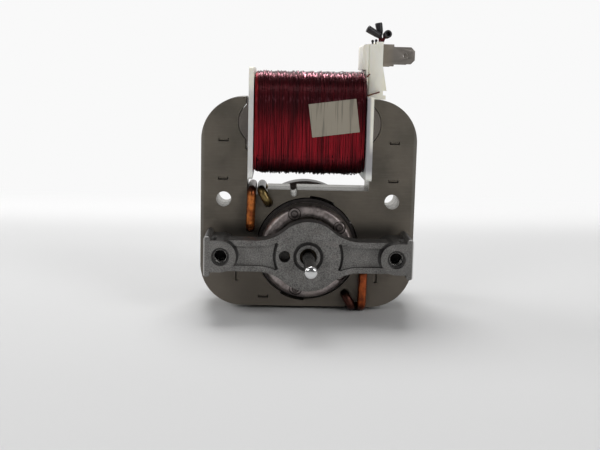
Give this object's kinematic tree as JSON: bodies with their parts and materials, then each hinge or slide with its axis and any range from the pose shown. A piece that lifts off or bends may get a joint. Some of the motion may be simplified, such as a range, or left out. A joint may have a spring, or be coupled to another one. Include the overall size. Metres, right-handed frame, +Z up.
{
  "type": "fan motor",
  "caption": "Open-frame shaded-pole fan motor: laminated stator with a coil across its top, die-cast brackets, squirrel-cage rotor and a plain round shaft.",
  "frame": {"origin": "middle of the stator's foot, half way through the lamination stack", "axes": "+X along the foot towards the terminals, -Y along the shaft, +Z up"},
  "size_m": [0.061, 0.069, 0.0821],
  "materials": {
    "lamination_steel": "dull rolled silicon steel",
    "bobbin_plastic": "off-white moulded nylon",
    "enamelled_wire": "copper wire with dark red enamel",
    "tape": "grey woven tape",
    "copper": "bare heat-tinted copper",
    "terminal_steel": "tinned steel blade",
    "black_sleeve": "black shrink sleeve",
    "die_casting": "grey sand-textured die casting",
    "cast_rotor": "cast aluminium",
    "shaft_steel": "ground steel",
    "sintered_bronze": "oiled sintered bronze",
    "felt": "oil-soaked felt",
    "spring_steel": "spring steel",
    "spacer_plastic": "natural nylon",
    "screw_steel": "zinc-plated steel"
  },
  "bodies": {
    "frame": {"stator_stack": "lamination_steel", "coil_core": "lamination_steel", "bobbin": "bobbin_plastic", "winding": "enamelled_wire", "winding_tape": "tape", "shading_ring_left_long": "copper", "shading_ring_left_short": "copper", "shading_ring_right_long": "copper", "shading_ring_right_short": "copper", "terminal_tab_front": "terminal_steel", "terminal_tab_rear": "terminal_steel", "lead_start": "enamelled_wire", "lead_finish": "enamelled_wire", "splice_wire_left": "enamelled_wire", "splice_sleeve_left": "black_sleeve", "splice_wire_middle": "enamelled_wire", "splice_sleeve_middle": "black_sleeve", "splice_wire_right": "enamelled_wire", "splice_sleeve_right": "black_sleeve", "front_bracket": "die_casting", "rear_bracket": "die_casting", "clamp_screw_left": "screw_steel", "clamp_screw_right": "screw_steel", "front_bearing": "sintered_bronze", "front_bearing_felt": "felt", "front_bearing_retainer": "spring_steel", "rear_bearing": "sintered_bronze", "rear_bearing_felt": "felt", "rear_bearing_retainer": "spring_steel"},
    "rotor": {"front_thrust_washer": "spring_steel", "front_spacer": "spacer_plastic", "rear_thrust_washer": "spring_steel", "rear_spacer": "spacer_plastic", "shaft": "shaft_steel", "rotor_core": "lamination_steel", "rotor_cage": "cast_rotor"}
  },
  "joints": [
    {"name": "rotor_spin", "type": "hinge", "parent": "frame", "child": "rotor", "pos_m": [0, 0, 0.0169], "axis": [0, -1, 0], "continuous": true}
  ]
}
